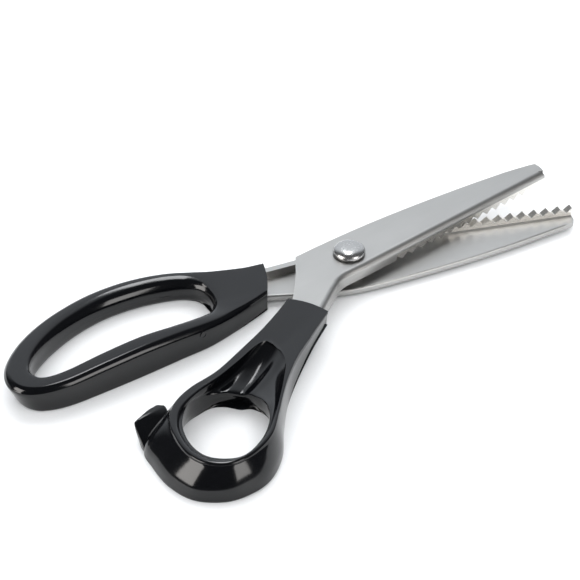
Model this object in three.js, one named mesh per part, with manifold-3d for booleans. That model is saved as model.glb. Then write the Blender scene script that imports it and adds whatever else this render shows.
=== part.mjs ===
// Pinking shears, 250 mm long, lying half open on their handles.
//
// Frame: millimetres, +Z up. The origin is on the pivot axis, at the surface the shears lie on,
// and +X points along the blades, towards the tips. The lower half (lower blade and finger handle)
// stays still; the upper half (upper blade and thumb handle) turns about the pivot axis.
import * as THREE from 'three';
import { ConvexGeometry } from 'three/addons/geometries/ConvexGeometry.js';
import * as BufferGeometryUtils from 'three/addons/utils/BufferGeometryUtils.js';
import Module from 'manifold-3d';

const wasm = await Module();
wasm.setup();

// ---------------------------------------------------------------- driving dimensions

// Heights. The two blades are mirrored about the mating plane.
const MATING_Z = 7.25;
const BLADE_HALF = 5.4; // mating plane to a blade's outer face
const PLATE = 2.3; // thickness of the pressed plate
const LEDGE = 0.6; // seat of a toothed strip, proud of the plate's inner face
const WALL_PAST = 0.5; // how far a folded wall runs past the mating plane
const WALL = 2.6; // thickness of a folded wall

const OUTER_LOW = MATING_Z - BLADE_HALF;
const INNER_LOW = OUTER_LOW + PLATE;
const OUTER_HIGH = MATING_Z + BLADE_HALF;
const INNER_HIGH = OUTER_HIGH - PLATE;

// Teeth: rings of one zigzag about the pivot axis, so the two strips mesh at every angle.
const PITCH = 5;
const TOOTH_HALF = 1.15; // half the height of a tooth
const LAST_RIDGE = 99.9; // radius of the lower strip's outermost ridge
const MESH_GAP = 0.3; // height left between meshed teeth
const STRIP = 2.8; // width of a toothed strip
const STRIP_START = 17; // distance of a strip's inner end along its edge
const TIP_RADIUS = 99.9;

// Cutting edges in the half-open pose: direction, and distance from the pivot axis.
const LOWER_EDGE = { angle: THREE.MathUtils.degToRad(-9.7), offset: 16.5 };
const UPPER_EDGE = { angle: THREE.MathUtils.degToRad(16.5), offset: -10.2 };

// Pivot
const SHANK_R = 3;
const RUNNING_FIT = 0.06;
const BARREL_R = 3.9;
const BOSS_R = 7.2;
const HEAD_R = 6.6;
const HEAD_HEIGHT = 2.9;
const FRICTION_WASHER = 0.4;
const AXIAL_GAP = 0.05;
const THREAD_R = 2.2;

// Handles
const RING_TOP = 14.3;
const TANG_FIT = 0.3; // gap round a tang in its handle
const TANG_HOLE_R = 2.2;

// ---------------------------------------------------------------- colours

const steel = (shade) => new THREE.MeshStandardMaterial({ color: shade, metalness: 1, roughness: 0.38 });
const polished = () => new THREE.MeshStandardMaterial({ color: 0xd2d2d0, metalness: 1, roughness: 0.16 });
const blackPlastic = () => new THREE.MeshStandardMaterial({ color: 0x101216, roughness: 0.14 });
const BRUSHED = 0xc4c3bf;
const HARDENED = 0xd8d3c8;

// ---------------------------------------------------------------- solids

// A closed geometry as a Manifold, and back.
function solid(geometry) {
  const bare = geometry.clone();
  bare.deleteAttribute('normal');
  bare.deleteAttribute('uv');
  const merged = BufferGeometryUtils.mergeVertices(bare, 1e-5);
  return new wasm.Manifold(new wasm.Mesh({
    numProp: 3,
    vertProperties: Float32Array.from(merged.attributes.position.array),
    triVerts: Uint32Array.from(merged.index.array),
  }));
}

function geometryOf(manifold) {
  const mesh = manifold.getMesh();
  const indexed = new THREE.BufferGeometry();
  indexed.setAttribute('position', new THREE.BufferAttribute(mesh.vertProperties, 3));
  indexed.setIndex(new THREE.BufferAttribute(mesh.triVerts, 1));
  const flat = indexed.toNonIndexed();
  flat.computeVertexNormals();
  return flat;
}

function named(name, shape, material) {
  const geometry = shape.isBufferGeometry ? shape : geometryOf(shape);
  const mesh = new THREE.Mesh(geometry, material);
  mesh.name = name;
  return mesh;
}

// A flat outline pulled up from one height to another.
function slab(outline, low, high) {
  const options = { depth: high - low, bevelEnabled: false, curveSegments: 10 };
  const geometry = new THREE.ExtrudeGeometry(outline, options);
  geometry.translate(0, 0, low);
  return solid(geometry);
}

// A [radius, height] profile turned about the pivot axis.
function turned(profile, segments = 48) {
  const points = profile.map(([r, z]) => new THREE.Vector2(r, z));
  const geometry = new THREE.LatheGeometry(points, segments);
  geometry.rotateX(Math.PI / 2);
  return solid(geometry);
}

// A cylinder standing on the height low.
function post(x, y, radius, low, high, segments = 48) {
  const geometry = new THREE.CylinderGeometry(radius, radius, high - low, segments);
  geometry.rotateX(Math.PI / 2);
  geometry.translate(x, y, (low + high) / 2);
  return solid(geometry);
}

// A washer: outer and inner radius, and its two heights.
const ring = (outer, inner, low, high) => turned(
  [[inner, low], [outer, low], [outer, high], [inner, high], [inner, low]],
);

// An outline through a list of steps: a pair is a straight line to that point, and a list of
// pairs is one smooth curve through them.
function outline(steps) {
  const shape = new THREE.Shape();
  shape.moveTo(...steps[0]);
  for (const step of steps.slice(1)) {
    if (Array.isArray(step[0])) shape.splineThru(step.map(([x, y]) => new THREE.Vector2(x, y)));
    else shape.lineTo(...step);
  }
  return shape;
}

// The point at a distance along a cutting edge, set in from it by a depth.
function onEdge(edge, along, depth = 0) {
  const side = Math.sign(edge.offset);
  const across = edge.offset - side * depth;
  return [
    along * Math.cos(edge.angle) - across * Math.sin(edge.angle),
    along * Math.sin(edge.angle) + across * Math.cos(edge.angle),
  ];
}

// The distance along an edge at which it reaches a radius.
const reach = (edge, radius, depth = 0) => Math.sqrt(radius ** 2 - (Math.abs(edge.offset) - depth) ** 2);

// ---------------------------------------------------------------- teeth

// The space above (or below) the zigzag, as a body of revolution about the pivot axis.
function toothSpace(shift, far) {
  const profile = [];
  for (let step = 38; step >= 0; step -= 1) {
    const swing = step % 2 === 0 ? TOOTH_HALF : -TOOTH_HALF;
    profile.push([LAST_RIDGE + PITCH - (step * PITCH) / 2, MATING_Z + shift + swing]);
  }
  const closed = [[profile[0][0], far], ...profile, [profile.at(-1)[0], far], [profile[0][0], far]];
  if (far < MATING_Z) closed.reverse();
  return turned(closed, 180);
}

// A toothed strip: a bar along the cutting edge, from its seat to the zigzag.
function toothedStrip(edge, seat, space) {
  const end = reach(edge, TIP_RADIUS);
  const bar = outline([
    onEdge(edge, STRIP_START),
    onEdge(edge, end),
    onEdge(edge, reach(edge, TIP_RADIUS, STRIP), STRIP),
    onEdge(edge, STRIP_START, STRIP),
  ]);
  const high = seat < MATING_Z ? MATING_Z + 2 * TOOTH_HALF : seat;
  const low = seat < MATING_Z ? seat : MATING_Z - 2 * TOOTH_HALF;
  return slab(bar, low, high).subtract(space);
}

function lowerToothedStrip() {
  const space = toothSpace(-MESH_GAP / 2, MATING_Z + 4 * TOOTH_HALF);
  const strip = toothedStrip(LOWER_EDGE, INNER_LOW + LEDGE, space);
  return named('lower_tooth_strip', strip, steel(HARDENED));
}

function upperToothedStrip() {
  const space = toothSpace(MESH_GAP / 2, MATING_Z - 4 * TOOTH_HALF);
  const strip = toothedStrip(UPPER_EDGE, INNER_HIGH - LEDGE, space);
  return named('upper_tooth_strip', strip, steel(HARDENED));
}

// ---------------------------------------------------------------- lower blade

// Plan of the lower tang where the handle grips it, and its two holes for the plastic.
const LOWER_TANG = [[-56, 5.5], [-55, -1]];
const LOWER_TANG_HOLES = [[-43, 3], [-50.5, 3]];

function lowerPlateOutline() {
  const tip = reach(LOWER_EDGE, TIP_RADIUS);
  return outline([
    onEdge(LOWER_EDGE, 14),
    onEdge(LOWER_EDGE, tip),
    [[99.8, -4.4], [99.3, -6.2], [98, -7.3], [95, -7.9]],
    [
      [82, -9.4], [68, -10.9], [50, -12.2], [30, -12.9], [10, -13.1], [-4, -12.3], [-16, -9.4],
      [-38, -2.7],
    ],
    LOWER_TANG[1],
    LOWER_TANG[0],
    [-44, 9.9],
    [-20, 10],
    [[-8, 11.6], onEdge(LOWER_EDGE, 3, 0.9), onEdge(LOWER_EDGE, 14)],
  ]);
}

// The folded wall: tall beside the pivot and the tang, low where the strip sits on it.
function lowerWallOutline() {
  return outline([
    onEdge(LOWER_EDGE, STRIP_START - 0.1),
    [onEdge(LOWER_EDGE, 14), onEdge(LOWER_EDGE, 3, 0.9), [-8, 11.6], [-20, 10]],
    [-46, 9.9],
    [-46, 9.9 - WALL],
    [-20, 10 - WALL],
    [[-7, 11.5 - WALL], onEdge(LOWER_EDGE, 4, 1 + WALL), onEdge(LOWER_EDGE, STRIP_START - 0.1, WALL)],
  ]);
}

function seatOutline(edge) {
  return outline([
    onEdge(edge, STRIP_START - 0.2),
    onEdge(edge, reach(edge, TIP_RADIUS)),
    onEdge(edge, reach(edge, TIP_RADIUS, STRIP), STRIP),
    onEdge(edge, STRIP_START - 0.2, STRIP),
  ]);
}

function lowerBlade() {
  let body = slab(lowerPlateOutline(), OUTER_LOW, INNER_LOW)
    .add(slab(lowerWallOutline(), OUTER_LOW, MATING_Z + WALL_PAST))
    .add(slab(seatOutline(LOWER_EDGE), OUTER_LOW, INNER_LOW + LEDGE));
  body = body.subtract(post(0, 0, BARREL_R + RUNNING_FIT, 0, MATING_Z));
  for (const [x, y] of LOWER_TANG_HOLES) {
    body = body.subtract(post(x, y, TANG_HOLE_R, 0, INNER_LOW + 1, 24));
  }
  return body;
}

// ---------------------------------------------------------------- upper blade

const UPPER_TANG = [[-43.5, -35.5], [-39, -41]];
const UPPER_TANG_HOLES = [[-33.5, -29], [-38.2, -34.8]];

function upperPlateOutline() {
  const tip = reach(UPPER_EDGE, TIP_RADIUS);
  return outline([
    onEdge(UPPER_EDGE, 0),
    onEdge(UPPER_EDGE, tip),
    [[97.9, 19.9], [97.8, 22.2], [97.1, 24.4], [95.3, 25.5]],
    [[82, 24.9], [65, 22.9], [48, 20.5], [30, 17.6], [11, 14], [-8, 9.6], [-20.9, 6.2]],
    [[-24.4, -2.4], [-27.7, -9.5], [-32.2, -17.8], [-37, -25.5]],
    UPPER_TANG[0],
    UPPER_TANG[1],
    [-29.5, -34.7],
    [-19.8, -24.4],
    [[-13, -17.1], [-7.8, -12.9], onEdge(UPPER_EDGE, 0)],
  ]);
}

function upperWallOutline() {
  return outline([
    onEdge(UPPER_EDGE, STRIP_START - 0.1),
    onEdge(UPPER_EDGE, 0),
    [[-7.8, -12.9], [-13, -17.1], [-19.8, -24.4]],
    [-29.5, -34.7],
    [-31.4, -32.9],
    [-21.7, -22.6],
    [[-14.8, -15.2], [-9.2, -10.6], onEdge(UPPER_EDGE, 0.6, WALL)],
    onEdge(UPPER_EDGE, STRIP_START - 0.1, WALL),
  ]);
}

function upperBlade() {
  let body = slab(upperPlateOutline(), INNER_HIGH, OUTER_HIGH)
    .add(slab(upperWallOutline(), MATING_Z - WALL_PAST, OUTER_HIGH))
    .add(slab(seatOutline(UPPER_EDGE), INNER_HIGH - LEDGE, OUTER_HIGH));
  body = body.subtract(post(0, 0, SHANK_R + RUNNING_FIT, MATING_Z, OUTER_HIGH + 1));
  for (const [x, y] of UPPER_TANG_HOLES) {
    body = body.subtract(post(x, y, TANG_HOLE_R, INNER_HIGH - 1, OUTER_HIGH + 1, 24));
  }
  return body;
}

// ---------------------------------------------------------------- pivot

const BOSS_FACE = FRICTION_WASHER / 2 + AXIAL_GAP;
const FLAT_WASHER = [OUTER_HIGH + 0.02, OUTER_HIGH + 0.32];
const HEAD_Z = FLAT_WASHER[1] + 0.35;
const BARREL_TOP = MATING_Z - 0.6;
const NUT_FLANGE = OUTER_LOW - 0.03;
const THREAD_END = 2.6;

function lowerPivotBoss() {
  const shape = ring(BOSS_R, BARREL_R + RUNNING_FIT, INNER_LOW, MATING_Z - BOSS_FACE);
  return named('lower_pivot_boss', shape, steel(BRUSHED));
}

function upperPivotBoss() {
  const shape = ring(BOSS_R, SHANK_R + RUNNING_FIT, MATING_Z + BOSS_FACE, INNER_HIGH);
  return named('upper_pivot_boss', shape, steel(BRUSHED));
}

function frictionWasher() {
  const half = FRICTION_WASHER / 2;
  const shape = ring(BOSS_R - 0.4, SHANK_R + RUNNING_FIT, MATING_Z - half, MATING_Z + half);
  const nylon = new THREE.MeshStandardMaterial({ color: 0xd9d6c8, roughness: 0.6 });
  return named('friction_washer', shape, nylon);
}

function flatWasher() {
  return named('flat_washer', ring(5.4, SHANK_R + RUNNING_FIT, ...FLAT_WASHER), steel(BRUSHED));
}

// A thin ring bent into three waves.
function waveWasher() {
  const across = [[3.2, 0], [5.1, 0], [5.1, 0.15], [3.2, 0.15]];
  const loops = [];
  for (let step = 0; step < 36; step += 1) {
    const turn = (step / 36) * 2 * Math.PI;
    const lift = FLAT_WASHER[1] + 0.08 + 0.05 * Math.cos(3 * turn);
    loops.push(across.map(([r, z]) => (
      new THREE.Vector3(r * Math.cos(turn), r * Math.sin(turn), lift + z)
    )));
  }
  return named('wave_washer', skin(loops), steel(BRUSHED));
}

// Domed head, shoulder that the upper blade turns on, and threaded end.
function pivotBolt() {
  const rim = 0.8;
  const profile = [[0, THREAD_END], [THREAD_R - 0.3, THREAD_END], [THREAD_R, THREAD_END + 0.3],
    [THREAD_R, BARREL_TOP + 0.05], [SHANK_R, BARREL_TOP + 0.05], [SHANK_R, HEAD_Z],
    [HEAD_R - 0.3, HEAD_Z], [HEAD_R, HEAD_Z + 0.3], [HEAD_R, HEAD_Z + rim]];
  const bulge = HEAD_HEIGHT - rim;
  for (let step = 1; step < 6; step += 1) {
    const angle = (step / 6) * (Math.PI / 2);
    profile.push([HEAD_R * Math.cos(angle), HEAD_Z + rim + bulge * Math.sin(angle)]);
  }
  profile.push([0, HEAD_Z + HEAD_HEIGHT]);
  return named('pivot_bolt', turned(profile), polished());
}

// Low flange with two spanner notches, and a blind threaded barrel.
function pivotNut() {
  const flangeR = 6.4;
  const boreR = THREAD_R + RUNNING_FIT;
  let body = turned([
    [0, 0], [flangeR - 0.4, 0], [flangeR, 0.4], [flangeR, NUT_FLANGE], [BARREL_R, NUT_FLANGE],
    [BARREL_R, BARREL_TOP], [boreR, BARREL_TOP], [boreR, THREAD_END - 0.3], [0, THREAD_END - 0.3],
  ]);
  for (const side of [-1, 1]) {
    body = body.subtract(post(side * flangeR, 0, 1.3, -1, NUT_FLANGE + 0.01, 24));
  }
  return named('pivot_nut', body, steel(BRUSHED));
}

// ---------------------------------------------------------------- handles

// A closed band of quads: each loop is one section, and the last joins the first.
function skin(loops) {
  const count = loops[0].length;
  const position = loops.flat().flatMap((p) => [p.x, p.y, p.z]);
  const index = [];
  loops.forEach((_, i) => {
    const next = ((i + 1) % loops.length) * count;
    for (let j = 0; j < count; j += 1) {
      const k = (j + 1) % count;
      index.push(i * count + j, next + j, next + k, i * count + j, next + k, i * count + k);
    }
  });
  const geometry = new THREE.BufferGeometry();
  geometry.setAttribute('position', new THREE.BufferAttribute(Float32Array.from(position), 3));
  geometry.setIndex(index);
  return geometry;
}

// Stations round a handle, each a list of numbers, eased into one another along closed curves.
function eased(stations, between) {
  const width = stations[0].length;
  const lanes = [];
  for (let lane = 0; lane < width; lane += 1) {
    const track = stations.map((station) => new THREE.Vector3(station[lane], 0, 0));
    lanes.push(new THREE.CatmullRomCurve3(track, true, 'catmullrom', 0.5));
  }
  const total = stations.length * between;
  return Array.from({ length: total }, (_, i) => lanes.map((lane) => lane.getPoint(i / total).x));
}

// A handle's band of sections; what would dip below the table is laid flat on it.
function moulding(stations, section) {
  const loops = eased(stations, 3).map(section);
  loops.flat().forEach((point) => point.setZ(Math.max(point.z, 0)));
  return solid(skin(loops));
}

const mix = (a, b, t) => a + (b - a) * t;
const quarter = [0, 1, 2, 3].map((step) => (step * Math.PI) / 6);
const eighths = [0, 1, 2, 3, 4].map((step) => (step * Math.PI) / 8);

// Finger handle, station by station: brow x, y; foot x, y; hole x, y; top height; base height;
// width of the slope from the top down into the hole.
const FINGER_STATIONS = [
  [-27, 9.6, -27, 9.3, -60.3, 3, 9.75, 0.5, 4],
  [-40, 11.9, -40, 11.6, -61.6, 6.5, 9.75, 0.4, 4],
  [-52, 15.1, -52, 14.8, -64.2, 9.5, 9.8, 0.2, 4.4],
  [-61.1, 18.3, -61.1, 18, -69, 12.1, 9.9, 0, 5],
  [-70.1, 21.1, -70.1, 20.6, -76, 13.3, 10.1, 0, 5.3],
  [-81, 22.7, -81, 22.2, -84, 13.7, 10.2, 0, 5],
  [-93.1, 22.6, -93, 22.1, -92.2, 13.2, 10.2, 0, 5],
  [-106.2, 20.1, -105.9, 19.6, -101.1, 11.7, 10.3, 0, 5],
  [-119.2, 15, -118.6, 14.4, -110.4, 8.7, 10.6, 0, 5],
  [-131.2, 8.1, -130.3, 7.4, -120.3, 3.9, 11.1, 0, 5],
  [-141.8, -0.6, -140.2, -1.3, -129.7, -2.4, 11.6, 0, 4.2],
  [-149.4, -10.3, -146.3, -10.9, -137.4, -9.8, 11.9, 0, 3],
  [-152, -19.4, -148, -18.9, -141.2, -16.8, 12.1, 0, 2.4],
  [-149.6, -26.7, -146.1, -25.5, -139.8, -21.6, 12.2, 0, 2.4],
  [-142.6, -30.9, -141.1, -29.8, -136.2, -23.4, 12.3, 0, 2.4],
  [-131, -31.7, -130.6, -31.1, -128, -22.8, 12.7, 0, 2.5],
  [-114, -28.9, -114, -28.6, -112, -19, 13.4, 0, 2.8],
  [-97, -25.4, -97, -25.4, -95.7, -15.6, 13.5, 0, 2.8],
  [-81, -22, -81, -22.1, -82.2, -13.8, 12.8, 0, 2.8],
  [-67, -18.8, -67, -19.1, -71.2, -11.5, 11.6, 0, 3],
  [-54, -13.8, -54, -14, -64.7, -8.6, 10.2, 0.2, 3.6],
  [-40, -7.5, -40.5, -7.6, -61.4, -4.6, 9.8, 0.5, 4],
  [-30, -1.5, -30, -1.5, -60.3, -0.8, 9.75, 0.5, 4],
];

const ROLL = 3; // radius of the outer wall's rounded shoulder

// Section at one station: outer wall and shoulder, flat top, slope into the hole, hole wall.
function fingerSection([ox, oy, fx, fy, ix, iy, top, base, dip]) {
  const width = Math.hypot(ix - ox, iy - oy);
  const shoulder = top - ROLL;
  const at = (inward, z) => {
    const t = inward / width;
    return new THREE.Vector3(mix(ox, ix, t), mix(oy, iy, t), z);
  };
  const foot = (inward, z) => {
    const t = inward / Math.hypot(ix - fx, iy - fy);
    const share = (z - base) / (shoulder - base);
    return new THREE.Vector3(mix(mix(fx, ix, t), ox, share), mix(mix(fy, iy, t), oy, share), z);
  };
  const roll = eighths.map((turn) => at(ROLL * (1 - Math.cos(turn)), shoulder + ROLL * Math.sin(turn)));
  const fall = quarter.map((turn) => at(
    width - dip * (1 - Math.sin(turn)),
    top - 1.15 * dip * (1 - Math.cos(turn)),
  ));
  return [
    foot(1.2, base), foot(0.3, base + 0.4), foot(0, base + 1.3), foot(0, mix(base, shoulder, 0.6)),
    ...roll,
    ...fall,
    at(width, base + 3.6), at(width - 0.4, base + 1.5), at(width - 1.2, base + 0.4), at(width - 2.2, base),
  ];
}

// Thumb handle, station by station: rim x, y; base x, y; dish x, y; hole x, y; base height;
// height at which the dish meets the hole's wall.
const THUMB_STATIONS = [
  [-27.5, -13.4, -27.5, -13.4, -50.4, -39.9, -72, -56.6, 5.5, 7.2],
  [-41, -24.1, -41.2, -23.9, -53, -38.9, -75.5, -55.1, 4.6, 7.8],
  [-51, -31.8, -51.4, -31.2, -58.4, -40.9, -79, -54.2, 3, 7.8],
  [-63.9, -40.3, -64.3, -39.6, -67, -46.3, -83, -54.3, 1.2, 8.4],
  [-77, -48.2, -77.4, -47.2, -77.4, -52.3, -87.6, -56, 0, 9.8],
  [-90, -53.3, -90.6, -51.4, -88.3, -57.2, -92.8, -59.6, 0, 11.4],
  [-99, -59.6, -102, -55.6, -97, -63.2, -97.3, -65.6, 0, 12.2],
  [-104.1, -68.2, -113.2, -65.5, -101.7, -70.6, -99.9, -72, 0, 12.3],
  [-105.5, -78, -113.9, -75.9, -102.9, -79, -100.7, -79.4, 0, 12.3],
  [-104.6, -88, -112, -88.4, -101.9, -87.2, -99.6, -86.2, 0, 12.3],
  [-100.5, -95.5, -106.1, -98.8, -98.5, -93.2, -96.5, -91.2, 0, 12.3],
  [-93, -99.6, -95, -104.4, -92.1, -96.8, -91.1, -94.5, 0, 12.4],
  [-85.3, -99, -84, -103.8, -85.4, -97, -85.3, -95.5, 0, 12.5],
  [-77, -95.2, -75.2, -99.5, -78.6, -93.6, -79.5, -93, 0, 12.6],
  [-69.8, -89, -67, -90, -72, -88.1, -73.2, -87.6, 0, 12.5],
  [-63.6, -79.5, -61.6, -78.4, -66.2, -80.5, -68, -80, 0, 12.2],
  [-57.7, -69.9, -56.2, -67.9, -61, -72.5, -65.5, -72.4, 0, 11.4],
  [-52, -61.6, -51.3, -60.3, -56, -64, -65.4, -66.6, 0.6, 10],
  [-44.3, -52.3, -44.3, -52, -51.2, -54.8, -66.9, -62.2, 2.6, 8.8],
  [-34, -42, -34.8, -42, -49.4, -48, -68.3, -59.8, 5, 8.3],
  [-16.5, -24.2, -17.5, -24.2, -48.9, -43.8, -69.7, -58.2, 7, 7.2],
  [-20.5, -17, -20.5, -17, -49.4, -41.5, -70.9, -57.3, 6.4, 7],
];

// Section at one station: flared outer wall, narrow rim, dish, hole wall.
function thumbSection([rx, ry, bx, by, dx, dy, hx, hy, base, arris]) {
  const top = RING_TOP - 0.1 * base;
  const rimWidth = Math.hypot(dx - rx, dy - ry);
  const flare = (part, z) => new THREE.Vector3(mix(rx, bx, part), mix(ry, by, part), z);
  const inward = (depth, z) => {
    const t = depth / rimWidth;
    return new THREE.Vector3(mix(rx, dx, t), mix(ry, dy, t), z);
  };
  const underWidth = Math.hypot(hx - bx, hy - by);
  const under = (depth, z) => {
    const t = depth / underWidth;
    return new THREE.Vector3(mix(bx, hx, t), mix(by, hy, t), z);
  };
  const dish = (u) => {
    const fall = Math.sin((u * Math.PI) / 2) ** 0.7;
    return new THREE.Vector3(mix(dx, hx, u), mix(dy, hy, u), mix(top - 0.4, arris, fall));
  };
  return [
    under(1.1, base), under(0.25, base + 0.4), flare(1, base + 1.3), flare(0.9, mix(base, top, 0.34)),
    flare(0.6, mix(base, top, 0.58)), flare(0.22, mix(base, top, 0.8)), flare(0, top - 1.3),
    inward(0.45, top - 0.35), inward(1.2, top), inward(rimWidth - 0.9, top),
    dish(0), dish(0.35), dish(0.7),
    new THREE.Vector3(mix(dx, hx, 0.96), mix(dy, hy, 0.96), arris), new THREE.Vector3(hx, hy, arris - 0.9),
    under(underWidth - 0.4, 5.2), under(underWidth - 1.2, 2.6), under(underWidth - 2.1, 0.9),
    under(underWidth - 3.2, 0.1 * base),
  ];
}

// What a handle loses beyond its end near the blade: the space outside a large upright cylinder.
function beyondEnd(x, y, radius, angle) {
  const block = new THREE.BoxGeometry(30, 60, 40);
  block.translate(radius + 8, 0, 10);
  block.rotateZ(angle);
  block.translate(x, y, 0);
  return solid(block).subtract(post(x, y, radius, -20, 40, 160));
}

// The pocket that a tang leaves in its handle, a little larger than the tang all round.
function pocket(steps, holes, low, high) {
  let space = slab(outline(steps), low, high);
  for (const [x, y] of holes) {
    space = space.subtract(post(x, y, TANG_HOLE_R - TANG_FIT, low - 1, high + 1, 24));
  }
  return space;
}

function fingerHandle() {
  const grip = moulding(FINGER_STATIONS, fingerSection);
  const end = beyondEnd(-91, 19.3, 58.6, THREE.MathUtils.degToRad(-17.3));
  const plate = pocket(
    [[-30, -5.6], [-30, 10.3], [-44.2, 10.2], [-56.3, 5.8], [-55.3, -1.4], [-38.2, -3.1]],
    LOWER_TANG_HOLES, OUTER_LOW - TANG_FIT, INNER_LOW + TANG_FIT,
  );
  const wall = pocket(
    [[-30, 7.1], [-30, 10.3], [-46.3, 10.2], [-46.3, 7]],
    [], OUTER_LOW - TANG_FIT, MATING_Z + WALL_PAST + TANG_FIT,
  );
  return named('finger_handle', grip.subtract(end).subtract(plate).subtract(wall), blackPlastic());
}

// The stop beside the thumb ring, which meets the finger handle when the shears are shut: a wedge
// from a level crest down to the ring's foot.
const STOP_TOP = 7.8;
const STOP_CREST = [[-99.2, -52.6], [-102.3, -50.9], [-107, -52.5], [-114.4, -57]];
const STOP_FOOT = [
  [-99.2, -54.5], [-103, -54], [-108.5, -58.6], [-114, -63.8], [-113.6, -70], [-106, -72], [-99, -60],
];

function closingStop() {
  return solid(new ConvexGeometry([
    ...STOP_CREST.map(([x, y]) => new THREE.Vector3(x, y, STOP_TOP)),
    ...STOP_FOOT.map(([x, y]) => new THREE.Vector3(x, y, 0)),
  ]));
}

function thumbHandle() {
  const grip = moulding(THUMB_STATIONS, thumbSection);
  const end = beyondEnd(-48.6, -42.4, 27.6, THREE.MathUtils.degToRad(41.5));
  const plate = pocket(
    [
      [-20, -24.6], [-29.3, -35.1], [-38.9, -41.5], [-44, -35.6], [-37.4, -25.5], [-32.5, -17.7],
      [-30, -12],
    ],
    UPPER_TANG_HOLES, INNER_HIGH - TANG_FIT, OUTER_HIGH + TANG_FIT,
  );
  const wall = pocket(
    [[-19.5, -24.5], [-29.4, -35.2], [-31.9, -32.9], [-22, -22.3]],
    [], MATING_Z - WALL_PAST - TANG_FIT, OUTER_HIGH + TANG_FIT,
  );
  const shape = grip.subtract(end).add(closingStop()).subtract(plate).subtract(wall);
  return named('thumb_handle', shape, blackPlastic());
}

// ---------------------------------------------------------------- assembly

const lowerHalf = new THREE.Group();
lowerHalf.add(
  named('lower_blade', lowerBlade(), steel(BRUSHED)),
  lowerToothedStrip(),
  lowerPivotBoss(),
  pivotNut(),
  pivotBolt(),
  frictionWasher(),
  flatWasher(),
  waveWasher(),
  fingerHandle(),
);

const upperHalf = new THREE.Group();
upperHalf.add(
  named('upper_blade', upperBlade(), steel(BRUSHED)),
  upperToothedStrip(),
  upperPivotBoss(),
  thumbHandle(),
);

const shears = new THREE.Group();
shears.add(lowerHalf, upperHalf);
export default shears;
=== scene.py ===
"""Pinking shears: the visual model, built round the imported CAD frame.

The drawing functions work in the CAD's own millimetres and frame (pivot axis at the origin, +X towards
the tips, +Z up), and mesh_object() turns them into metres.
"""
import math

import bmesh
import bpy
import numpy as np
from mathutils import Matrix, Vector


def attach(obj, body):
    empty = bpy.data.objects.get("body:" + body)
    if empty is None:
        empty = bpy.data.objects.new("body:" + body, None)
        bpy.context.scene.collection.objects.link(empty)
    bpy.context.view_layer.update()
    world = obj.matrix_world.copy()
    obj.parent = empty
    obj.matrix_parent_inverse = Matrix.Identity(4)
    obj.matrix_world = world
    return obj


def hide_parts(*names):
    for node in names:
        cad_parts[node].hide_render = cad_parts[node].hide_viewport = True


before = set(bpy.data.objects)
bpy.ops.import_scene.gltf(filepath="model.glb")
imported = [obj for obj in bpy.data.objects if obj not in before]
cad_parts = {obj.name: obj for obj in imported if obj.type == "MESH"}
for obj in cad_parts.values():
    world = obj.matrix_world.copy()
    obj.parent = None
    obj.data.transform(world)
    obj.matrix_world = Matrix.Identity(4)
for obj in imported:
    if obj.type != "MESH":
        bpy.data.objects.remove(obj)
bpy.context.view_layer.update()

MM = 0.001

# ---------------------------------------------------------------- driving dimensions, as in the CAD

# Heights. The two blades are mirrored about the mating plane.
MATING_Z = 7.25
BLADE_HALF = 5.4  # mating plane to a blade's outer face
PLATE = 2.3  # thickness of the pressed plate
LEDGE = 0.6  # seat of a toothed strip, proud of the plate's inner face
WALL_PAST = 0.5  # how far a folded wall runs past the mating plane
WALL = 2.6  # thickness of a folded wall
OUTER_LOW = MATING_Z - BLADE_HALF
INNER_LOW = OUTER_LOW + PLATE
OUTER_HIGH = MATING_Z + BLADE_HALF
INNER_HIGH = OUTER_HIGH - PLATE

# Teeth: rings of one zigzag about the pivot axis, so the two strips mesh at every angle.
PITCH = 5.0
TOOTH_HALF = 1.15  # half the height of a tooth
TOOTH_FLAT = 0.09  # half the width of the flat along a ridge or a valley
LAST_RIDGE = 99.9  # radius of the lower strip's outermost ridge
MESH_GAP = 0.3  # height left between meshed teeth
STRIP = 2.8  # width of a toothed strip
STRIP_COLUMNS = 7  # points across a strip
STRIP_START = 17.0  # distance of a strip's inner end along its edge
SEAT_START = STRIP_START - 0.1  # a seat starts just before its strip
TIP_RADIUS = 99.9

# Cutting edges in the half-open pose: direction, and distance from the pivot axis.
LOWER_EDGE = (math.radians(-9.7), 16.5)
UPPER_EDGE = (math.radians(16.5), -10.2)

# Pivot
SHANK_R = 3.0
RUNNING_FIT = 0.06
BARREL_R = 3.9
HEAD_R = 6.6
HEAD_HEIGHT = 2.9
HEAD_RIM = 0.45  # upright part of the head's side
HEAD_FLATNESS = 3.4  # 2 is a plain dome
HEAD_Z = OUTER_HIGH + 0.67
THREAD_R = 2.2
THREAD_END = 2.6
BARREL_TOP = MATING_Z - 0.6
NUT_R = 6.4
NUT_FLANGE = OUTER_LOW - 0.03
NOTCH_R = 1.3

# Handles
RING_TOP = 14.3
TANG_FIT = 0.3  # gap round a tang in its handle

BEVEL = 0.22  # broken edges of the pressings
BEND = 2.5  # radius of a pressing's folded edge


# ---------------------------------------------------------------- curves

CURVE_STEPS = 10  # points on each stretch of a drawn curve
STATION_STEPS = 9  # sections from one station of a handle to the next
SECTION_STEPS = 4  # points on each stretch of a section


def cubic(p0, p1, p2, p3, t):
    """A Catmull-Rom step from p1 to p2."""
    v0, v1 = (p2 - p0) / 2, (p3 - p1) / 2
    return (2 * p1 - 2 * p2 + v0 + v1) * t**3 + (3 * p2 - 3 * p1 - 2 * v0 - v1) * t**2 + v0 * t + p1


def through(points):
    """Points on one smooth open curve through the given points, without the first."""
    p = [np.array(q, float) for q in points]
    p = [p[0], *p, p[-1]]
    curve = []
    for i in range(len(p) - 3):
        curve += [cubic(*p[i : i + 4], (k + 1) / CURVE_STEPS) for k in range(CURVE_STEPS)]
    return curve


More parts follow.
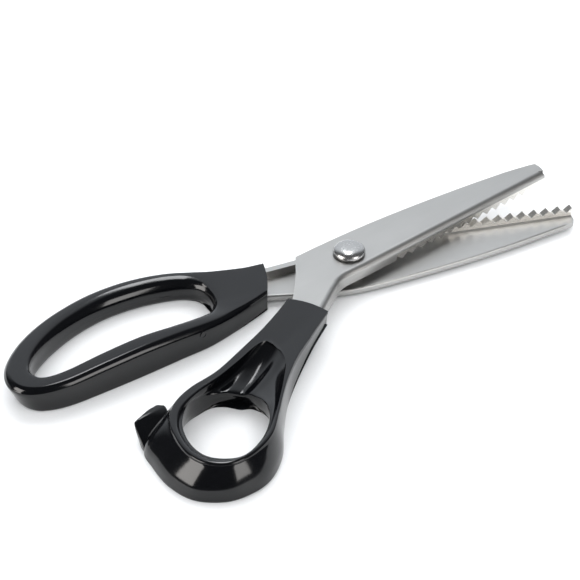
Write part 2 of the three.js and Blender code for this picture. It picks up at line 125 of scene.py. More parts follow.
def outline(steps):
    """A pair is a straight line to that point; a list of pairs is one smooth curve through them."""
    path = [np.array(steps[0], float)]
    for step in steps[1:]:
        if isinstance(step, list):
            path += through([path[-1], *step])
        else:
            path.append(np.array(step, float))
    if np.allclose(path[0], path[-1]):
        path.pop()
    return path


def eased(stations, between):
    """Stations eased into one another round a closed curve."""
    table = np.array(stations, float)
    rows = []
    for i in range(len(table)):
        four = [table[(i + k) % len(table)] for k in (-1, 0, 1, 2)]
        rows += [cubic(*four, k / between) for k in range(between)]
    return rows


def mix(a, b, t):
    return a + (b - a) * t


def on_edge(edge, along, depth=0.0):
    """The point at a distance along a cutting edge, set in from it by a depth."""
    angle, offset = edge
    across = offset - math.copysign(depth, offset)
    return (
        along * math.cos(angle) - across * math.sin(angle),
        along * math.sin(angle) + across * math.cos(angle),
    )


def reach(edge, radius, depth=0.0):
    """The distance along an edge at which it reaches a radius."""
    return math.sqrt(radius**2 - (abs(edge[1]) - depth) ** 2)


# ---------------------------------------------------------------- meshes

def in_scene(name, data):
    """An object in the scene for a mesh, a light or a camera."""
    made = bpy.data.objects.new(name, data)
    bpy.context.scene.collection.objects.link(made)
    return made


def mesh_object(name, vertices, faces):
    """A mesh from millimetres, with its faces turned outwards."""
    mesh = bpy.data.meshes.new(name)
    mesh.from_pydata([tuple(MM * c for c in v) for v in vertices], [], faces)
    mesh.validate()
    made = bmesh.new()
    made.from_mesh(mesh)
    bmesh.ops.remove_doubles(made, verts=made.verts, dist=1e-7)
    bmesh.ops.recalc_face_normals(made, faces=made.faces)
    made.to_mesh(mesh)
    made.free()
    return in_scene(name, mesh)


def prism(path, low, high, name="prism"):
    """A plan outline pulled up from one height to another."""
    count = len(path)
    vertices = [(*p, low) for p in path] + [(*p, high) for p in path]
    faces = [list(range(count))[::-1], list(range(count, 2 * count))]
    faces += [[i, (i + 1) % count, (i + 1) % count + count, i + count] for i in range(count)]
    return mesh_object(name, vertices, faces)


def lathe(profile, segments, name, centre=(0, 0)):
    """A closed or axis-to-axis [radius, height] profile turned about an upright axis."""
    cx, cy = centre
    vertices, faces = [], []
    rows = []
    for radius, height in profile:
        if radius < 1e-6:
            rows.append([len(vertices)] * segments)
            vertices.append((cx, cy, height))
            continue
        rows.append(list(range(len(vertices), len(vertices) + segments)))
        for k in range(segments):
            turn = 2 * math.pi * k / segments
            vertices.append((cx + radius * math.cos(turn), cy + radius * math.sin(turn), height))
    for a, b in zip(rows, rows[1:]):
        for k in range(segments):
            corners = [a[k], a[(k + 1) % segments], b[(k + 1) % segments], b[k]]
            face = list(dict.fromkeys(corners))
            if len(face) > 2:
                faces.append(face)
    return mesh_object(name, vertices, faces)


def post(x, y, radius, low, high, segments=64):
    return lathe([(0, low), (radius, low), (radius, high), (0, high)], segments, "post", (x, y))


def skin(loops, name):
    """A closed band of quads, whose last loop joins the first."""
    count = len(loops[0])
    vertices = [p for loop in loops for p in loop]
    faces = []
    for i in range(len(loops)):
        here, there = i * count, ((i + 1) % len(loops)) * count
        for j in range(count):
            k = (j + 1) % count
            faces.append([here + j, there + j, there + k, here + k])
    return mesh_object(name, vertices, faces)


def settled(piece):
    """The piece with its modifiers applied."""
    shape = bpy.data.meshes.new_from_object(piece.evaluated_get(bpy.context.evaluated_depsgraph_get()))
    piece.modifiers.clear()
    piece.data = shape
    return piece


def combine(piece, other, operation):
    """Joins or cuts with another solid, which is used up."""
    tool = piece.modifiers.new("combine", "BOOLEAN")
    tool.operation, tool.solver, tool.object = operation, "EXACT", other
    settled(piece)
    bpy.data.objects.remove(other)
    return piece


def smooth(piece, angle):
    """Smooth shading, with edges sharper than the angle kept."""
    piece.data.shade_smooth()
    piece.data.set_sharp_from_angle(angle=math.radians(angle))
    return piece


def crisp(piece, angle=35):
    """Smooth shading in which the large flat faces stay flat up to their rounded edges.

    Concave faces are split first, so that they are cut into triangles without an overlap.
    """
    made = bmesh.new()
    made.from_mesh(piece.data)
    bmesh.ops.connect_verts_concave(made, faces=made.faces)
    made.to_mesh(piece.data)
    made.free()
    smooth(piece, angle)
    flats = piece.modifiers.new("flats", "WEIGHTED_NORMAL")
    flats.mode, flats.weight, flats.keep_sharp = "FACE_AREA", 100, True
    return settled(piece)


def bevelled(piece, width, segments=2, angle=40):
    """The piece with its sharp edges broken, as far as its shortest edges allow."""
    rounding = piece.modifiers.new("edges", "BEVEL")
    rounding.width, rounding.segments = width * MM, segments
    rounding.limit_method, rounding.angle_limit = "ANGLE", math.radians(angle)
    rounding.use_clamp_overlap = True
    return settled(piece)


def cleaned(piece):
    """Faces that lie in one plane are made one face."""
    made = bmesh.new()
    made.from_mesh(piece.data)
    bmesh.ops.remove_doubles(made, verts=made.verts, dist=1e-6)
    bmesh.ops.dissolve_limit(made, angle_limit=math.radians(0.3), verts=made.verts, edges=made.edges)
    made.to_mesh(piece.data)
    made.free()
    return piece


def bend(piece, path, height, width, segments=6):
    """Rounds the corners of a piece that lie on a plan path at a height."""
    corner = 0.8  # least angle, in radians, between two faces that meet in a corner
    made = bmesh.new()
    made.from_mesh(piece.data)
    track = [Vector((p[0] * MM, p[1] * MM)) for p in path]

    def on_path(vertex):
        if abs(vertex.co.z - height * MM) > 1e-6:
            return False
        here = vertex.co.xy
        return any(near(here, a, b) for a, b in zip(track, track[1:]))

    def near(here, a, b):
        along = b - a
        t = max(0.0, min(1.0, (here - a).dot(along) / along.length_squared))
        return (here - a - along * t).length < 0.02 * MM

    marked = {v for v in made.verts if on_path(v)}
    found = [e for e in made.edges if marked.issuperset(e.verts) and e.calc_face_angle(0) > corner]
    bmesh.ops.bevel(made, geom=found, offset=width * MM, segments=segments, profile=0.5, affect="EDGES")
    made.to_mesh(piece.data)
    made.free()
    return piece


# ---------------------------------------------------------------- materials

METALLIC = 0.96  # the rest stands in for the light that a brushed surface scatters

STEEL_DARK, STEEL_LIGHT, STEEL_WORN = (0.40, 0.397, 0.388), (0.425, 0.422, 0.413), (0.58, 0.575, 0.56)
# The teeth are painted much lighter than the blades' steel. Part of this is their ground finish, and part is
# painted light that stands in for the light their near faces catch from the floor in front.
TOOTH_LIT_DARK, TOOTH_LIT_LIGHT = (0.76, 0.74, 0.70), (0.84, 0.82, 0.78)
BOLT_DARK, BOLT_LIGHT = (0.44, 0.44, 0.435), (0.46, 0.46, 0.455)
PLASTIC_DARK, PLASTIC_LIGHT = (0.0018, 0.002, 0.0026), (0.0026, 0.0028, 0.0036)
PLASTIC_WORN = (0.006, 0.0065, 0.0075)
NYLON_DARK, NYLON_LIGHT = (0.66, 0.64, 0.56), (0.74, 0.72, 0.64)
PAPER_DARK, PAPER_LIGHT = (0.86, 0.865, 0.87), (0.88, 0.885, 0.89)
BLADE_ROUGHNESS, TOOTH_ROUGHNESS = 0.4, 0.28


def node_material(name):
    made = bpy.data.materials.new(name)
    made.use_nodes = True
    return made, made.node_tree, made.node_tree.nodes["Principled BSDF"]


def grain(tree, angle, across, along, detail=4.0):
    """Noise drawn out along a direction in plan, as a brush leaves it, with its scales in 1/m."""
    place = tree.nodes.new("ShaderNodeTexCoord")
    turn = tree.nodes.new("ShaderNodeMapping")
    turn.vector_type = "TEXTURE"
    turn.inputs["Rotation"].default_value = (0, 0, angle)
    stretch = tree.nodes.new("ShaderNodeMapping")
    stretch.inputs["Scale"].default_value = (along, across, across)
    noise = tree.nodes.new("ShaderNodeTexNoise")
    noise.inputs["Scale"].default_value = 1.0
    noise.inputs["Detail"].default_value = detail
    noise.inputs["Roughness"].default_value = 0.6
    tree.links.new(place.outputs["Object"], turn.inputs["Vector"])
    tree.links.new(turn.outputs["Vector"], stretch.inputs["Vector"])
    tree.links.new(stretch.outputs["Vector"], noise.inputs["Vector"])
    return noise.outputs["Fac"]


def ranged(tree, value, low, high, start=0.3, stop=0.7):
    """Goes from low to high as a value goes from start to stop."""
    span = tree.nodes.new("ShaderNodeMapRange")
    span.inputs["From Min"].default_value = start
    span.inputs["From Max"].default_value = stop
    span.inputs["To Min"].default_value = low
    span.inputs["To Max"].default_value = high
    tree.links.new(value, span.inputs["Value"])
    return span.outputs["Result"]


def bump(tree, height, strength, distance, base=None):
    """A bumped normal, laid over another where a base is given."""
    node = tree.nodes.new("ShaderNodeBump")
    node.inputs["Strength"].default_value = strength
    node.inputs["Distance"].default_value = distance
    tree.links.new(height, node.inputs["Height"])
    if base:
        tree.links.new(base, node.inputs["Normal"])
    return node.outputs["Normal"]


def tinted(tree, value, dark, light):
    """A colour between two, chosen by a noise value."""
    ramp = tree.nodes.new("ShaderNodeValToRGB")
    ramp.color_ramp.elements[0].color = (*dark, 1)
    ramp.color_ramp.elements[1].color = (*light, 1)
    ramp.color_ramp.elements[0].position = 0.3
    ramp.color_ramp.elements[1].position = 0.7
    tree.links.new(value, ramp.inputs["Fac"])
    return ramp.outputs["Color"]


def edges(tree, radius, value, spread):
    """A mask that is 1 along an object's edges, broken up by a noise value."""
    rounded = tree.nodes.new("ShaderNodeBevel")
    rounded.samples = 6
    rounded.inputs["Radius"].default_value = radius
    true = tree.nodes.new("ShaderNodeNewGeometry")
    match = tree.nodes.new("ShaderNodeVectorMath")
    match.operation = "DOT_PRODUCT"
    tree.links.new(rounded.outputs["Normal"], match.inputs[0])
    tree.links.new(true.outputs["Normal"], match.inputs[1])
    mask = ranged(tree, match.outputs["Value"], 1.0, 0.0, start=1.0 - spread, stop=0.995)
    broken = tree.nodes.new("ShaderNodeMath")
    broken.operation = "MULTIPLY"
    tree.links.new(mask, broken.inputs[0])
    tree.links.new(ranged(tree, value, 0.25, 1.0, start=0.35, stop=0.6), broken.inputs[1])
    return broken.outputs["Value"]


def blended(tree, mask, base, worn):
    """A colour that turns into another where the mask is 1."""
    a, b, result = 6, 7, 2  # the colour sockets of a Mix node
    node = tree.nodes.new("ShaderNodeMix")
    node.data_type = "RGBA"
    tree.links.new(mask, node.inputs["Factor"])
    tree.links.new(base, node.inputs[a])
    node.inputs[b].default_value = (*worn, 1)
    return node.outputs[result]


def brushed_steel(name, angle, dark, light, worn, roughness):
    """Steel brushed along a direction, with cloudy patches and a few scratches across the brushing."""
    made, tree, shader = node_material(name)
    lines = grain(tree, angle, across=8000.0, along=160.0)
    patches = grain(tree, angle, across=90.0, along=30.0, detail=2.0)
    scuffs = grain(tree, angle + 0.9, across=2600.0, along=220.0, detail=2.0)
    wear = edges(tree, radius=0.4 * MM, value=patches, spread=0.12)
    shader.inputs["Metallic"].default_value = METALLIC
    colour = blended(tree, wear, tinted(tree, patches, dark, light), worn)
    tree.links.new(colour, shader.inputs["Base Color"])
    tree.links.new(ranged(tree, lines, roughness - 0.04, roughness + 0.05), shader.inputs["Roughness"])
    brushed = bump(tree, lines, strength=0.08, distance=0.03 * MM)
    scratches = ranged(tree, scuffs, 0.0, 1.0, start=0.66, stop=0.7)
    scratched = bump(tree, scratches, strength=0.25, distance=0.01 * MM, base=brushed)
    tree.links.new(scratched, shader.inputs["Normal"])
    return made


def polished_steel():
    made, tree, shader = node_material("polished_steel")
    swirl = grain(tree, 0.4, across=900.0, along=900.0, detail=3.0)
    shader.inputs["Metallic"].default_value = METALLIC
    tree.links.new(tinted(tree, swirl, BOLT_DARK, BOLT_LIGHT), shader.inputs["Base Color"])
    tree.links.new(ranged(tree, swirl, 0.24, 0.28), shader.inputs["Roughness"])
    tree.links.new(bump(tree, swirl, strength=0.03, distance=0.02 * MM), shader.inputs["Normal"])
    return made


def black_plastic():
    """Glossy plastic with a faint wave from the mould, fine dust and edges rubbed a little dull."""
    made, tree, shader = node_material("black_plastic")
    flow = grain(tree, 0.0, across=55.0, along=55.0, detail=2.0)
    dust = grain(tree, 0.0, across=2600.0, along=2600.0, detail=6.0)
    rub = grain(tree, 0.6, across=900.0, along=120.0, detail=3.0)
    wear = edges(tree, radius=0.6 * MM, value=rub, spread=0.2)
    rubbed = 0.07  # roughness that wear adds
    colour = blended(tree, wear, tinted(tree, flow, PLASTIC_DARK, PLASTIC_LIGHT), PLASTIC_WORN)
    tree.links.new(colour, shader.inputs["Base Color"])
    dull = tree.nodes.new("ShaderNodeMath")
    dull.operation = "MULTIPLY_ADD"
    dull.inputs[1].default_value = rubbed
    tree.links.new(wear, dull.inputs[0])
    tree.links.new(ranged(tree, dust, 0.1, 0.16), dull.inputs[2])
    tree.links.new(dull.outputs["Value"], shader.inputs["Roughness"])
    tree.links.new(bump(tree, flow, strength=0.06, distance=0.2 * MM), shader.inputs["Normal"])
    shader.inputs["IOR"].default_value = 1.46
    return made


def nylon():
    made, tree, shader = node_material("nylon")
    cloud = grain(tree, 0.0, across=300.0, along=300.0, detail=3.0)
    tree.links.new(tinted(tree, cloud, NYLON_DARK, NYLON_LIGHT), shader.inputs["Base Color"])
    tree.links.new(ranged(tree, cloud, 0.45, 0.6), shader.inputs["Roughness"])
    return made


def finished(piece, material):
    piece.data.materials.clear()
    piece.data.materials.append(material)
    return piece


def install(piece, body, material, node):
    """Puts a piece in place of the CAD node that it shows."""
    finished(piece, material)
    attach(piece, body)
    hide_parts(node)
    return piece


# ---------------------------------------------------------------- toothed strips

def zigzag(radius):
    """Height of the tooth rings over the mating plane at a radius."""
    phase = (radius - LAST_RIDGE) / PITCH
    away = abs(phase - round(phase))
    return TOOTH_HALF * (1 - 4 * away)


def toothed_strip(name, edge, seat, gap):
    """A bar along the edge, its teeth drawn ring by ring so that they stay concentric with the pivot."""
    across = [STRIP * k / (STRIP_COLUMNS - 1) for k in range(STRIP_COLUMNS)]
    starts = [math.hypot(STRIP_START, abs(edge[1]) - depth) for depth in across]
    radii = [0.0]  # short of every start, which makes the bar's square inner end
    ring = math.floor((min(starts) - LAST_RIDGE) * 2 / PITCH)
    while LAST_RIDGE + ring * PITCH / 2 <= TIP_RADIUS + 1e-6:
        here = LAST_RIDGE + ring * PITCH / 2
        radii += [here - TOOTH_FLAT, here + TOOTH_FLAT] if here < TIP_RADIUS - 0.2 else [here]
        ring += 1
    rows = []
    for radius in radii:
        row = []
        for depth, start in zip(across, starts):
            along = reach(edge, radius, depth) if radius > start else STRIP_START
            height = MATING_Z + gap + zigzag(max(radius, start))
            row.append((*on_edge(edge, along, depth), height))
        rows.append(row)
    vertices = [p for row in rows for p in row]
    base = len(vertices)
    vertices += [(p[0], p[1], seat) for row in rows for p in row]
    wide, long = len(across), len(rows)
    faces = []
    for i in range(long - 1):
        for j in range(wide - 1):
            quad = [i * wide + j, (i + 1) * wide + j, (i + 1) * wide + j + 1, i * wide + j + 1]
            faces += [quad, [base + q for q in quad[::-1]]]
        for j in (0, wide - 1):
            a, b = i * wide + j, (i + 1) * wide + j
            faces.append([a, b, base + b, base + a])
    for i in (0, long - 1):
        for j in range(wide - 1):
            a = i * wide + j
            faces.append([a, a + 1, base + a + 1, base + a])
    return smooth(mesh_object(name, vertices, faces), 20)


# ---------------------------------------------------------------- blades

LOWER_FAR = [on_edge(LOWER_EDGE, 14), on_edge(LOWER_EDGE, 3, 0.9), (-8, 11.6), (-20, 10)]
LOWER_SPINE = [
    (82, -9.4), (68, -10.9), (50, -12.2), (30, -12.9), (10, -13.1), (-4, -12.3), (-16, -9.4), (-38, -2.7),
]
LOWER_TIP = [(99.8, -4.4), (99.3, -6.2), (98, -7.3), (95, -7.9)]
LOWER_TANG = [(-55, -1), (-56, 5.5)]
LOWER_WALL_END = (-44, 9.9)

UPPER_NECK = [(-7.8, -12.9), (-13, -17.1), (-19.8, -24.4)]
UPPER_NECK_END = (-29.5, -34.7)
UPPER_SPINE = [(82, 24.9), (65, 22.9), (48, 20.5), (30, 17.6), (11, 14), (-8, 9.6)]
UPPER_CORNER = (-20.9, 6.2)
UPPER_TIP = [(97.9, 19.9), (97.8, 22.2), (97.1, 24.4), (95.3, 25.49)]
UPPER_SIDE = [(-24.4, -2.4), (-27.7, -9.5), (-32.2, -17.8), (-37, -25.5)]
UPPER_TANG = [(-39, -41), (-43.5, -35.5)]


def seat_outline(edge):
    """Plan of the ledge that a toothed strip sits on."""
    return outline([
        on_edge(edge, SEAT_START),
        on_edge(edge, reach(edge, TIP_RADIUS)),
        on_edge(edge, reach(edge, TIP_RADIUS, STRIP), STRIP),
        on_edge(edge, SEAT_START, STRIP),
    ])


def lower_blade():
    tip = reach(LOWER_EDGE, TIP_RADIUS)
    plate = outline([
        on_edge(LOWER_EDGE, 14), on_edge(LOWER_EDGE, tip), LOWER_TIP, LOWER_SPINE,
        *LOWER_TANG, LOWER_WALL_END, LOWER_FAR[-1], LOWER_FAR[-2::-1],
    ])
    wall = outline([
        on_edge(LOWER_EDGE, SEAT_START), LOWER_FAR, (-46, 9.9), (-46, 9.9 - WALL), (-20, 10 - WALL),
        [(-7, 11.5 - WALL), on_edge(LOWER_EDGE, 4, 1 + WALL), on_edge(LOWER_EDGE, SEAT_START, STRIP)],
    ])
    body = prism(plate, OUTER_LOW, INNER_LOW, "lower_blade_pressing")
    bend(body, outline([LOWER_TIP[-1], LOWER_SPINE]), INNER_LOW, width=0.8, segments=3)
    combine(body, prism(wall, OUTER_LOW, MATING_Z + WALL_PAST), "UNION")
    combine(body, prism(seat_outline(LOWER_EDGE), OUTER_LOW, INNER_LOW + LEDGE), "UNION")
    combine(body, post(0, 0, BARREL_R + RUNNING_FIT, 0, MATING_Z), "DIFFERENCE")
    return crisp(bevelled(cleaned(body), BEVEL))


def upper_blade():
    tip = reach(UPPER_EDGE, TIP_RADIUS)
    near = [on_edge(UPPER_EDGE, tip), on_edge(UPPER_EDGE, 0), UPPER_NECK, UPPER_NECK_END]
    plate = outline([
        *near, *UPPER_TANG, UPPER_SIDE[::-1], UPPER_CORNER,
        UPPER_SPINE[::-1], UPPER_TIP[::-1], on_edge(UPPER_EDGE, tip),
    ])
    wall = outline([
        on_edge(UPPER_EDGE, SEAT_START), on_edge(UPPER_EDGE, 0), UPPER_NECK,
        UPPER_NECK_END, (-31.4, -32.9), (-21.7, -22.6),
        [(-14.8, -15.2), (-9.2, -10.6), on_edge(UPPER_EDGE, 0.6, WALL)],
        on_edge(UPPER_EDGE, SEAT_START, STRIP),
    ])
    body = prism(plate, INNER_HIGH, OUTER_HIGH, "upper_blade_pressing")
    # The wall and the seat run a little way into the plate, so that the solids join.
    combine(body, prism(wall, MATING_Z - WALL_PAST, INNER_HIGH + 0.5), "UNION")
    combine(body, prism(seat_outline(UPPER_EDGE), INNER_HIGH - LEDGE, INNER_HIGH + 0.4), "UNION")
    cleaned(body)
    bend(body, outline([UPPER_TIP[0], *near]), OUTER_HIGH, width=BEND)
    combine(body, post(0, 0, SHANK_R + RUNNING_FIT, MATING_Z, OUTER_HIGH + 1), "DIFFERENCE")
    return crisp(bevelled(cleaned(body), BEVEL))


# ---------------------------------------------------------------- pivot

def bolt():
    """Domed head, shoulder that the upper blade turns on, and threaded end."""
    profile = [(0, THREAD_END), (THREAD_R - 0.3, THREAD_END), (THREAD_R, THREAD_END + 0.3),
               (THREAD_R, BARREL_TOP + 0.05), (SHANK_R, BARREL_TOP + 0.05), (SHANK_R, HEAD_Z),
               (HEAD_R - 0.3, HEAD_Z), (HEAD_R - 0.08, HEAD_Z + 0.09), (HEAD_R, HEAD_Z + 0.3),
               (HEAD_R, HEAD_Z + HEAD_RIM)]
    rise = HEAD_HEIGHT - HEAD_RIM
    rings = 36
    for k in range(1, rings):
        out = math.cos(math.pi / 2 * k / rings)
        profile.append((HEAD_R * out, HEAD_Z + HEAD_RIM + rise * math.sqrt(1 - out**HEAD_FLATNESS)))
    profile.append((0, HEAD_Z + HEAD_HEIGHT))
    return smooth(lathe(profile, 128, "pivot_bolt_head"), 30)


def nut():
    """Low flange with two spanner notches, and a blind threaded barrel."""
    hole, bottom = THREAD_R + RUNNING_FIT, THREAD_END - 0.3
    profile = [(0, 0), (NUT_R - 0.4, 0), (NUT_R, 0.4), (NUT_R, NUT_FLANGE), (BARREL_R, NUT_FLANGE),
               (BARREL_R, BARREL_TOP), (hole, BARREL_TOP), (hole, bottom), (0, bottom)]
    body = lathe(profile, 96, "pivot_nut_low")
    for side in (-1, 1):
        combine(body, post(side * NUT_R, 0, NOTCH_R, -1, NUT_FLANGE + 0.01), "DIFFERENCE")
    return crisp(bevelled(body, 0.08), 30)


# ---------------------------------------------------------------- handles

# Finger handle, station by station: brow x, y; foot x, y; hole x, y; top height; base height;
# width of the slope from the top down into the hole.
FINGER_STATIONS = [
    (-27, 9.6, -27, 9.3, -60.3, 3, 9.75, 0.5, 4),
    (-40, 11.9, -40, 11.6, -61.6, 6.5, 9.75, 0.4, 4),
    (-52, 15.1, -52, 14.8, -64.2, 9.5, 9.8, 0.2, 4.4),
    (-61.1, 18.3, -61.1, 18, -69, 12.1, 9.9, 0, 5),
    (-70.1, 21.1, -70.1, 20.6, -76, 13.3, 10.1, 0, 5.3),
    (-81, 22.7, -81, 22.2, -84, 13.7, 10.2, 0, 5),
    (-93.1, 22.6, -93, 22.1, -92.2, 13.2, 10.2, 0, 5),
    (-106.2, 20.1, -105.9, 19.6, -101.1, 11.7, 10.3, 0, 5),
    (-119.2, 15, -118.6, 14.4, -110.4, 8.7, 10.6, 0, 5),
    (-131.2, 8.1, -130.3, 7.4, -120.3, 3.9, 11.1, 0, 5),
    (-141.8, -0.6, -140.2, -1.3, -129.7, -2.4, 11.6, 0, 4.2),
    (-149.4, -10.3, -146.3, -10.9, -137.4, -9.8, 11.9, 0, 3),
    (-151.9, -19.4, -148, -18.9, -141.2, -16.8, 12.1, 0, 2.4),
    (-149.6, -26.7, -146.1, -25.5, -139.8, -21.6, 12.2, 0, 2.4),
    (-142.6, -30.9, -141.1, -29.8, -136.2, -23.4, 12.3, 0, 2.4),
    (-131, -31.7, -130.6, -31.1, -128, -22.8, 12.7, 0, 2.5),
    (-114, -28.9, -114, -28.6, -112, -19, 13.4, 0, 2.8),
    (-97, -25.4, -97, -25.4, -95.7, -15.6, 13.5, 0, 2.8),
    (-81, -22, -81, -22.1, -82.2, -13.8, 12.8, 0, 2.8),
    (-67, -18.8, -67, -19.1, -71.2, -11.5, 11.6, 0, 3),
    (-54, -13.8, -54, -14, -64.7, -8.6, 10.2, 0.2, 3.6),
    (-40, -7.5, -40.5, -7.6, -61.4, -4.6, 9.8, 0.5, 4),
    (-30, -1.5, -30, -1.5, -60.3, -0.8, 9.75, 0.5, 4),
]

# Thumb handle, station by station: rim x, y; base x, y; dish x, y; hole x, y; base height;
# height at which the dish meets the hole's wall.
THUMB_STATIONS = [
    (-27.5, -13.4, -27.5, -13.4, -50.4, -39.9, -72, -56.6, 5.5, 7.2),
    (-41, -24.1, -41.2, -23.9, -53, -38.9, -75.5, -55.1, 4.6, 7.8),
    (-51, -31.8, -51.4, -31.2, -58.4, -40.9, -79, -54.2, 3, 7.8),
    (-63.9, -40.3, -64.3, -39.6, -67, -46.3, -83, -54.3, 1.2, 8.4),
    (-77, -48.2, -77.4, -47.2, -77.4, -52.3, -87.6, -56, 0, 9.8),
    (-90, -53.3, -90.6, -51.4, -88.3, -57.2, -92.8, -59.6, 0, 11.4),
    (-99, -59.6, -102, -55.6, -97, -63.2, -97.3, -65.6, 0, 12.2),
    (-104.1, -68.2, -113.2, -65.5, -101.7, -70.6, -99.9, -72, 0, 12.3),
    (-105.5, -78, -113.9, -75.9, -102.9, -79, -100.7, -79.4, 0, 12.3),
    (-104.6, -88, -112, -88.4, -101.9, -87.2, -99.6, -86.2, 0, 12.3),
    (-100.5, -95.5, -106.1, -98.8, -98.5, -93.2, -96.5, -91.2, 0, 12.3),
    (-93, -99.6, -95, -104.4, -92.1, -96.8, -91.1, -94.5, 0, 12.4),
    (-85.3, -99, -84, -103.78, -85.4, -97, -85.3, -95.5, 0, 12.5),
    (-77, -95.2, -75.2, -99.5, -78.6, -93.6, -79.5, -93, 0, 12.6),
    (-69.8, -89, -67, -90, -72, -88.1, -73.2, -87.6, 0, 12.5),
    (-63.6, -79.5, -61.6, -78.4, -66.2, -80.5, -68, -80, 0, 12.2),
    (-57.7, -69.9, -56.2, -67.9, -61, -72.5, -65.5, -72.4, 0, 11.4),
    (-52, -61.6, -51.3, -60.3, -56, -64, -65.4, -66.6, 0.6, 10),
    (-44.3, -52.3, -44.3, -52, -51.2, -54.8, -66.9, -62.2, 2.6, 8.8),
    (-34, -42, -34.8, -42, -49.4, -48, -68.3, -59.8, 5, 8.3),
    (-16.5, -24.2, -17.5, -24.2, -48.9, -43.8, -69.7, -58.2, 7, 7.2),
    (-20.5, -17, -20.5, -17, -49.4, -41.5, -70.9, -57.3, 6.4, 7),
]


ROLL, ROLL_WIDTH = 3, 3.2  # height and width of the finger handle's rounded shoulder


def rounded_section(points):
    """A closed section eased through its points, flattened where it stands on the table."""
    return [(x, y, max(z, 0)) for x, y, z in eased(points, SECTION_STEPS)]


def finger_section(station):
    """Outer wall and shoulder, flat top, slope into the hole, hole wall."""
    ox, oy, fx, fy, ix, iy, top, base, dip = station
    width = math.hypot(ix - ox, iy - oy)
    drop = 1.15 * dip
    shoulder = top - ROLL

    def at(inward, z):
        t = inward / width
        return (mix(ox, ix, t), mix(oy, iy, t), z)

    def foot(inward, z):
        t = inward / math.hypot(ix - fx, iy - fy)
        share = (z - base) / (shoulder - base)
        return (mix(mix(fx, ix, t), ox, share), mix(mix(fy, iy, t), oy, share), z)

    roll = [(ROLL_WIDTH * (1 - math.cos(a)), shoulder + ROLL * math.sin(a))
            for a in (math.pi / 8 * k for k in range(5))]
    fall = [(width - dip * (1 - math.sin(a)), top - drop * (1 - math.cos(a)))
            for a in (math.pi / 6 * k for k in range(4))]
    points = [foot(1.2, base), foot(0.3, base + 0.4), foot(0, base + 1.3), foot(0, mix(base, shoulder, 0.6))]
    points += [at(*r) for r in roll] + [at(*f) for f in fall]
    points += [at(width, base + 3.6), at(width - 0.4, base + 1.5),
               at(width - 1.2, base + 0.4), at(width - 2.2, base)]
    return rounded_section(points)


def thumb_section(station):
    """Flared outer wall, narrow rim, dish, hole wall."""
    rx, ry, bx, by, dx, dy, hx, hy, base, arris = station
    top = RING_TOP - 0.1 * base
    rim_width = math.hypot(dx - rx, dy - ry)
    under_width = math.hypot(hx - bx, hy - by)

    def flare(part, z):
        return (mix(rx, bx, part), mix(ry, by, part), z)

    def inward(depth, z):
        t = depth / rim_width
        return (mix(rx, dx, t), mix(ry, dy, t), z)

    def under(depth, z):
        t = depth / under_width
        return (mix(bx, hx, t), mix(by, hy, t), z)

    def dish(u):
        return (mix(dx, hx, u), mix(dy, hy, u), mix(top - 0.4, arris, math.sin(u * math.pi / 2) ** 0.7))

    return rounded_section([
        under(1.1, base), under(0.25, base + 0.4), flare(1, base + 1.3), flare(0.9, mix(base, top, 0.34)),
        flare(0.6, mix(base, top, 0.58)), flare(0.22, mix(base, top, 0.8)), flare(0, top - 1.3),
        inward(0.45, top - 0.35), inward(1.2, top), inward(rim_width - 0.9, top),
        dish(0), dish(0.35), dish(0.7), (mix(dx, hx, 0.96), mix(dy, hy, 0.96), arris), (hx, hy, arris - 0.9),
        under(under_width - 0.4, 5.2), under(under_width - 1.2, 2.6), under(under_width - 2.1, 0.9),
        under(under_width - 3.2, 0.1 * base),
    ])


# The stop beside the thumb ring, which meets the finger handle when the shears are shut: a wedge
# from a level crest down to the ring's foot.
STOP_TOP = 7.8
STOP_CREST = [(-99.2, -52.6), (-102.3, -50.9), (-107, -52.5), (-114.4, -57)]
STOP_FOOT = [
    (-99.2, -54.5), (-103, -54), (-108.5, -58.6), (-114, -63.8), (-113.6, -70), (-106, -72), (-99, -60),
]

# The round scar of the mould's gate: centre, outer and inner radius, and how far it stands out.
GATE_SPOT = (-71, -19.87, 8.1)
GATE_FACING = math.radians(-75)
GATE_R, GATE_DIMPLE_R = 1.6, 1.1
GATE_PROUD = 0.24
GATE_FLOOR = 0.1  # how far the middle of the scar stands out

# Ends near the blade: each is an arc about a centre, with a radius and the direction it faces.
FINGER_END = {"x": -91, "y": 19.3, "radius": 58.6, "angle": math.radians(-17.3)}
THUMB_END = {"x": -48.6, "y": -42.4, "radius": 27.6, "angle": math.radians(41.5)}

# Plans of the pockets that the tangs and their walls leave in the handles.
FINGER_PLATE_POCKET = [
    (-30, -5.6), (-30, 10.3), (-44.2, 10.2), (-56.3, 5.8), (-55.3, -1.4), (-38.2, -3.1),
]
FINGER_WALL_POCKET = [(-30, 7.1), (-30, 10.3), (-46.3, 10.2), (-46.3, 7)]
THUMB_PLATE_POCKET = [
    (-20, -24.6), (-29.3, -35.1), (-38.9, -41.5), (-44, -35.6), (-37.4, -25.5), (-32.5, -17.7), (-30, -12),
]
THUMB_WALL_POCKET = [(-19.5, -24.5), (-29.4, -35.2), (-31.9, -32.9), (-22, -22.3)]


def beyond_end(x, y, radius, angle):
    """The space past a handle's end near the blade, which is part of a large upright cylinder."""
    corners = [(radius - 7, -30), (radius + 23, -30), (radius + 23, 30), (radius - 7, 30)]
    c, s = math.cos(angle), math.sin(angle)
    block = prism([(x + a * c - b * s, y + a * s + b * c) for a, b in corners], -10, 30)
    return combine(block, post(x, y, radius, -20, 40, 720), "DIFFERENCE")


